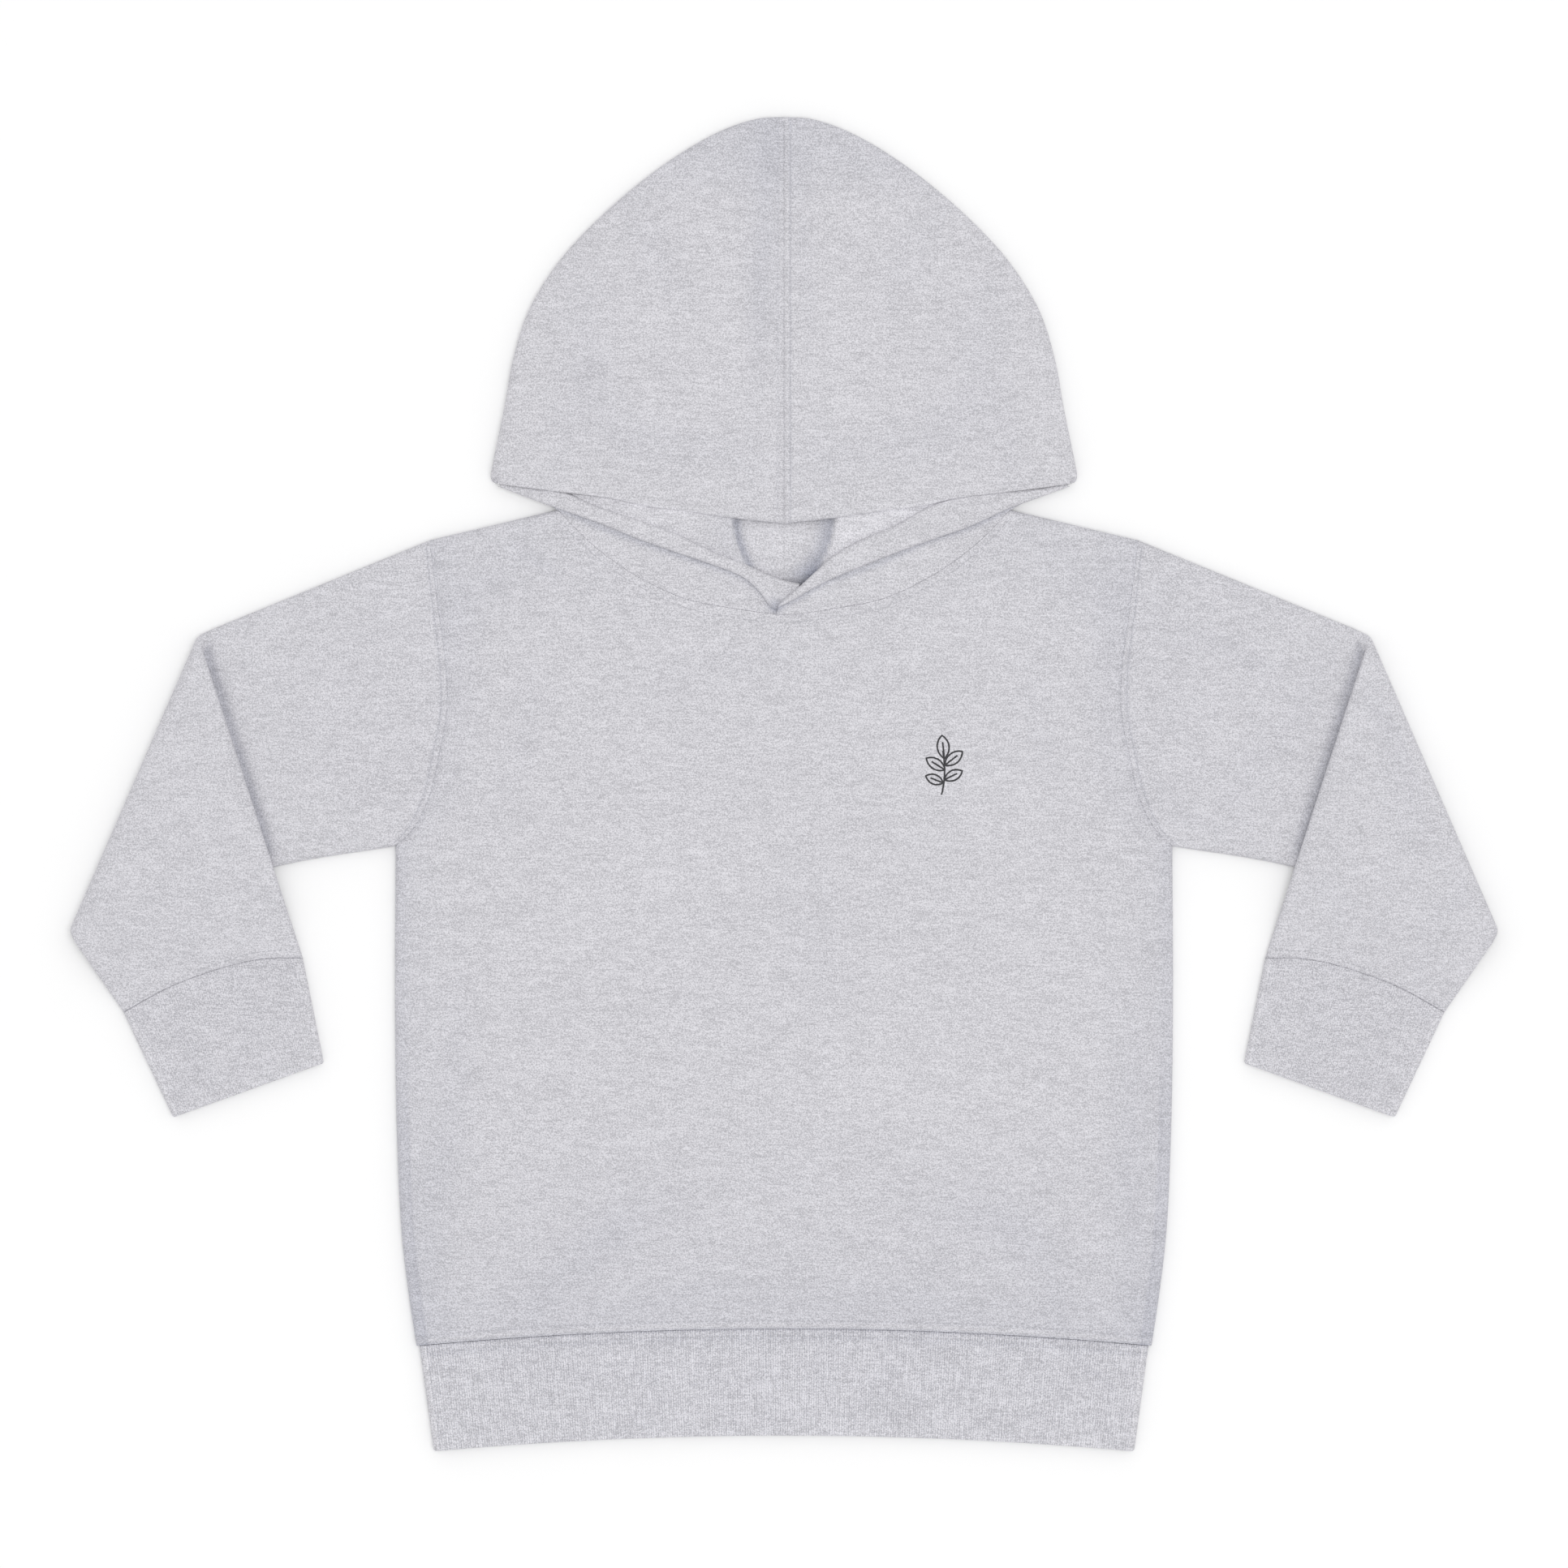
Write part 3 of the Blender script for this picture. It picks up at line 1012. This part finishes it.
def knit_relief(shade, grain):
    """Relief of brushed fine knit: wales side by side, loops leaning one way and the other, and loose fibre."""
    wale = (shade.x * (2 * math.pi / 1.08)).maths("COSINE")
    lean = (shade.y * (2 * math.pi / 0.9) + wale * 1.2).maths("COSINE")
    fuzz = shade.noise((0.55, 0.5, 0.6), 3, 0.65, 9)
    nap = shade.noise((3.2, 2.6, 3), 2, 0.5, 23)
    return wale * 0.022 + lean * 0.012 + grain * 0.10 + fuzz * 0.10 + nap * 0.22


def leaf_line(shade, foot, angle, long, wide):
    """Mask of a leaf drawn in one thin line: where two circles meet, plus its midrib."""
    turn = math.radians(angle)
    dx, dy = shade.x - foot[0], shade.y - foot[1]
    along = dx * math.cos(turn) + dy * math.sin(turn) - long / 2
    across = dy * math.cos(turn) - dx * math.sin(turn)
    radius = (long**2 + wide**2) / (4 * wide)
    to_edge = None
    for hand in (-1, 1):
        off = across + hand * (radius - wide / 2)
        reach = (along * along + off * off).maths("SQRT") - radius
        to_edge = reach if to_edge is None else to_edge.maths("MAXIMUM", reach)
    rib = across.maths("ABSOLUTE").maths("MAXIMUM", (along + long * 0.12).maths("ABSOLUTE") - long * 0.3)
    return to_edge.maths("ABSOLUTE").maths("MINIMUM", rib)


# The printed sprig: each leaf's foot from the sprig's middle, direction in degrees, length and width
SPRIG = (70.9, 8.1)
SPRIG_LINE = 0.78
SPRIG_STEM = {"centre": (-44, -2), "radius": 44.2, "low": -12.5, "high": 6.2}
SPRIG_LEAVES = [
    ((0.1, 3.2), 96, 10.2, 5.2), ((0.3, 0.2), 38, 9.8, 4.8), ((0.3, -1.8), 148, 9.6, 4.6),
    ((0.1, -6.2), 26, 8.8, 4.4), ((-0.5, -7.6), 158, 8.2, 4.2),
]


def sprig_ink(shade):
    """1 on the printed lines and 0 off them, broken a little by the nap."""
    cx, cy = SPRIG
    away = None
    for (fx, fy), angle, long, wide in SPRIG_LEAVES:
        line = leaf_line(shade, (cx + fx, cy + fy), angle, long, wide)
        away = line if away is None else away.maths("MINIMUM", line)
    dx = shade.x - (cx + SPRIG_STEM["centre"][0])
    dy = shade.y - (cy + SPRIG_STEM["centre"][1])
    arc = ((dx * dx + dy * dy).maths("SQRT") - SPRIG_STEM["radius"]).maths("ABSOLUTE")
    middle = cy + (SPRIG_STEM["low"] + SPRIG_STEM["high"]) / 2
    ends = (shade.y - middle).maths("ABSOLUTE") - (SPRIG_STEM["high"] - SPRIG_STEM["low"]) / 2
    stem = arc.maths("MAXIMUM", ends).maths("MAXIMUM", (shade.x - cx).maths("ABSOLUTE") - 12)
    away = away.maths("MINIMUM", stem)
    edge = shade.noise((0.9, 0.9, 0.9), 2, 0.5, 3) * 0.35
    return 1 - (away + edge).step(SPRIG_LINE / 2 - 0.12, SPRIG_LINE / 2 + 0.12)


def fleece(name, printed=False):
    """Brushed heather grey fleece, with the sprig printed on the front."""
    shade = Shade(name)
    colour, grain, fleck = heather(shade, FLEECE_LIGHT, FLEECE_DARK, 1.0)
    colour = shade.toned(colour)
    if printed:
        colour = shade.mix(sprig_ink(shade) * 0.94, colour, INK)
    return shade.cloth(colour, knit_relief(shade, grain), fleck * 0.1 + 0.92)


def rib_knit(name, columns):
    """The ribs' own knit: the same heather yarn, a little darker, with fine loops on each rib."""
    shade = Shade(name)
    colour, grain, fleck = heather(shade, RIB_LIGHT, RIB_DARK, 1.1, columns)
    colour = shade.toned(colour)
    fuzz = shade.noise((0.5, 0.5, 0.5), 3, 0.6, 9)
    loops = (shade.y * (2 * math.pi / 0.8)).maths("COSINE")
    return shade.cloth(colour, grain * 0.1 + fuzz * 0.1 + loops * 0.02, fleck * 0.1 + 0.92)


def thread():
    """Sewing thread, as grey as the cloth, twisted in fine slanting turns."""
    shade = Shade("thread")
    twist = ((shade.x + shade.y) * (2 * math.pi / 0.45)).maths("COSINE")
    tone = shade.noise((3, 3, 3), 2, 0.5, 2) * 0.5 + 0.5
    return shade.cloth(
        shade.mix(tone, (0.40, 0.40, 0.43, 1), (0.62, 0.615, 0.65, 1)), twist * 0.03, 0.8 + tone * 0.1
    )


def floor_finish():
    """Matt white studio board with a barely visible grain."""
    shade = Shade("studio_floor")
    tone = shade.noise((60, 60, 60), 2, 0.5) * 0.02 + 0.908
    board = shade.node("ShaderNodeCombineXYZ", {}, {0: tone, 1: tone, 2: tone}).outputs[0]
    return shade.cloth(board, tone * 0.02, 0.9 + tone * 0.05)


# Stitches


def stitch_form():
    """Points and faces of one stitch: a cube of two by two by two blocks, its corners drawn in."""
    spots = np.stack(np.meshgrid(*[[-1, 0, 1]] * 3, indexing="ij"), -1).reshape(-1, 3).astype(float)
    strides = (9, 3, 1)
    quads = []
    for axis in range(3):
        one, two = strides[(axis + 1) % 3], strides[(axis + 2) % 3]
        for end in (0, 2):
            for a, b in ((0, 0), (0, 1), (1, 0), (1, 1)):
                foot = end * strides[axis] + a * one + b * two
                quad = [foot, foot + one, foot + one + two, foot + two]
                quads.append(quad if end else quad[::-1])
    quads = np.array(quads)
    centre = 13
    spots = np.delete(spots, centre, 0)
    spots /= np.linalg.norm(spots, axis=1)[:, None] ** 0.85
    return spots, quads - (quads > centre)


def line_at(grid, way, target):
    """The line over a grid of points on which a distance, growing from row to row, reaches a target."""
    row = np.clip((way < target).sum(0), 1, len(grid) - 1)
    col = np.arange(grid.shape[1])
    low, high = way[row - 1, col], way[row, col]
    t = np.clip((target - low) / np.maximum(high - low, 1e-9), 0, 1)[:, None]
    return lerp(grid[row - 1, col], grid[row, col], t)


def stitches(name, lines, pitch, size, lift=0.0):
    """Rows of stitches along lines. Each has the size given (length, width, height) and lies along its line."""
    form, quads = stitch_form()
    points, faces, count = [], [], 0
    for line in lines:
        step = np.linalg.norm(np.diff(line, axis=0), axis=1)
        way = np.concatenate([[0], np.cumsum(step)])
        middle = np.arange(pitch / 2, way[-1], pitch)
        read = lambda at: np.stack([np.interp(at, way, line[:, i]) for i in range(3)], -1)
        along = read(middle + 0.6) - read(middle - 0.6)
        along /= np.linalg.norm(along, axis=1)[:, None]
        aside = np.cross([0, 0, 1], along)
        aside /= np.linalg.norm(aside, axis=1)[:, None]
        out = np.cross(along, aside)
        axes = np.stack([along * size[0] / 2, aside * size[1] / 2, out * size[2] / 2], 1)
        spots = (read(middle) + out * lift)[:, None] + np.einsum("vk,nkd->nvd", form, axes)
        points.append(spots.reshape(-1, 3))
        starts = (count + np.arange(len(middle)) * len(form))[:, None, None]
        faces.append((quads[None] + starts).reshape(-1, 4))
        count += spots.shape[0] * spots.shape[1]
    return add_mesh(name, np.concatenate(points), np.concatenate(faces))


# The garment

fleece_plain = fleece("fleece")
fleece_front = fleece("fleece_printed", printed=True)
band_rib, cuff_rib = rib_knit("rib", True), rib_knit("cuff_rib", False)
sewing = thread()

front, front_skin, front_across, front_up = body_panel("front_panel", FRONT_NECK, 1, 182, 182, FRONT_CREASES)
back, *_ = body_panel("back_panel", BACK_NECK, -1, 116, 116, BACK_CREASES)
band, band_skin, band_way = rib_tube(
    "waistband_rib", arc_line(BAND_TOP, HEM_RISE), arc_line(BAND_END, BAND_END_RISE), BAND_EDGE,
    BAND_CREASES, 0.12, 0.055
)
sleeves = {name: sleeve(f"{name}_sleeve", side) for name, side in (("left", 1), ("right", -1))}
cuffs = {name: cuff(f"{name}_cuff", side) for name, side in (("left", 1), ("right", -1))}
hoods = {"left": hood_half("left", 1, FACE_LEFT), "right": hood_half("right", -1, FACE_RIGHT)}

top_way = (1 - front_up) * BODY_HEIGHT
hem_way = front_up * BODY_HEIGHT
is_neck = (front_across[0] >= NECK_PLACE) & (front_across[0] <= 1 - NECK_PLACE)
neck_skin = front_skin[::-1][:, is_neck], top_way[::-1][:, is_neck]

fine_stitch = (2.0, 0.42, 0.3)
needle_dot = (1.2, 0.6, 0.5)
sewn = {
    "armhole_stitches": stitches(
        "armhole_stitches", [line_at(*s[1], ARM_ROW) for s in sleeves.values()], 2.7, fine_stitch
    ),
    "neck_stitches": stitches("neck_stitches", [line_at(*neck_skin, 4.2)], 2.7, fine_stitch),
    "hem_stitches": stitches("hem_stitches", [line_at(front_skin, hem_way, HEM_ROW)], 2.5, needle_dot),
    "band_stitches": stitches("band_stitches", [line_at(band_skin, band_way, 3.1)], 2.5, needle_dot),
    "hood_stitches": stitches("hood_stitches", [
        line_at(hoods["left"][2], hoods["left"][2][..., 0], HOOD_ROW),
    ], 2.7, fine_stitch),
    "cuff_stitches": stitches(
        "cuff_stitches", [line_at(*s[2], -3.6) for s in sleeves.values()], 2.5, needle_dot
    ),
}

# What each piece stands for, its finish, its slot in the record and how it was cut


def dress(piece, node, finish):
    """Ties a piece to the CAD node it stands for, and states its cloth's cut in metres."""
    piece.data.materials.append(finish)
    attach(piece, "root")
    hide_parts(node)


for piece in sewn.values():
    piece.data.materials.append(sewing)
    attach(piece, "root")

dress(front, "front", fleece_front)
dress(back, "back", fleece_plain)
dress(band, "waistband", band_rib)
for name in ("left", "right"):
    crown, face, _ = hoods[name]
    dress(sleeves[name][0], f"sleeve_{name}", fleece_plain)
    dress(cuffs[name][0], f"cuff_{name}", cuff_rib)
    dress(
        crown, f"hood_{name}", fleece_plain
    )
    dress(face, f"hood_{name}", fleece_plain)

# Floor, light and camera

FLOOR = 1.6
floor = bpy.data.meshes.new("floor")
floor.from_pydata(
    [(-FLOOR, -FLOOR, 0), (FLOOR, -FLOOR, 0), (FLOOR, FLOOR, 0), (-FLOOR, FLOOR, 0)], [], [(0, 1, 2, 3)]
)
floor = bpy.data.objects.new("floor", floor)
floor.data.materials.append(floor_finish())
bpy.context.scene.collection.objects.link(floor)
floor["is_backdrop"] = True


def softbox(name, place, size, watts):
    """A square light facing the garment's middle."""
    light = bpy.data.lights.new(name, "AREA")
    light.size = size
    light.energy = watts
    lamp = bpy.data.objects.new(name, light)
    lamp.location = place
    away = np.array(place) / np.linalg.norm(place)
    lamp.rotation_euler = (math.acos(away[2]), 0, math.atan2(away[1], away[0]) + math.pi / 2)
    bpy.context.scene.collection.objects.link(lamp)


softbox("key_light", (0.6, -0.15, 4.8), 2.7, 66.6)
world = bpy.data.worlds.new("studio")
world.use_nodes = True
world.node_tree.nodes["Background"].inputs["Color"].default_value = (1, 1, 1, 1)
world.node_tree.nodes["Background"].inputs["Strength"].default_value = 0.86
bpy.context.scene.world = world
bpy.context.scene.view_settings.view_transform = "Standard"

PHOTO = 1932
PHOTO_SCALE = 0.36
LENS = 200
lens = bpy.data.cameras.new("camera")
lens.lens = LENS
lens.sensor_width = 36
camera = bpy.data.objects.new("camera", lens)
camera.location = (0, 0, LENS / lens.sensor_width * PHOTO * PHOTO_SCALE * MM)
bpy.context.scene.collection.objects.link(camera)
bpy.context.scene.camera = camera

{"cad": [list(corner) for corner in cad_box], "visual": [list(corner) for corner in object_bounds()]}
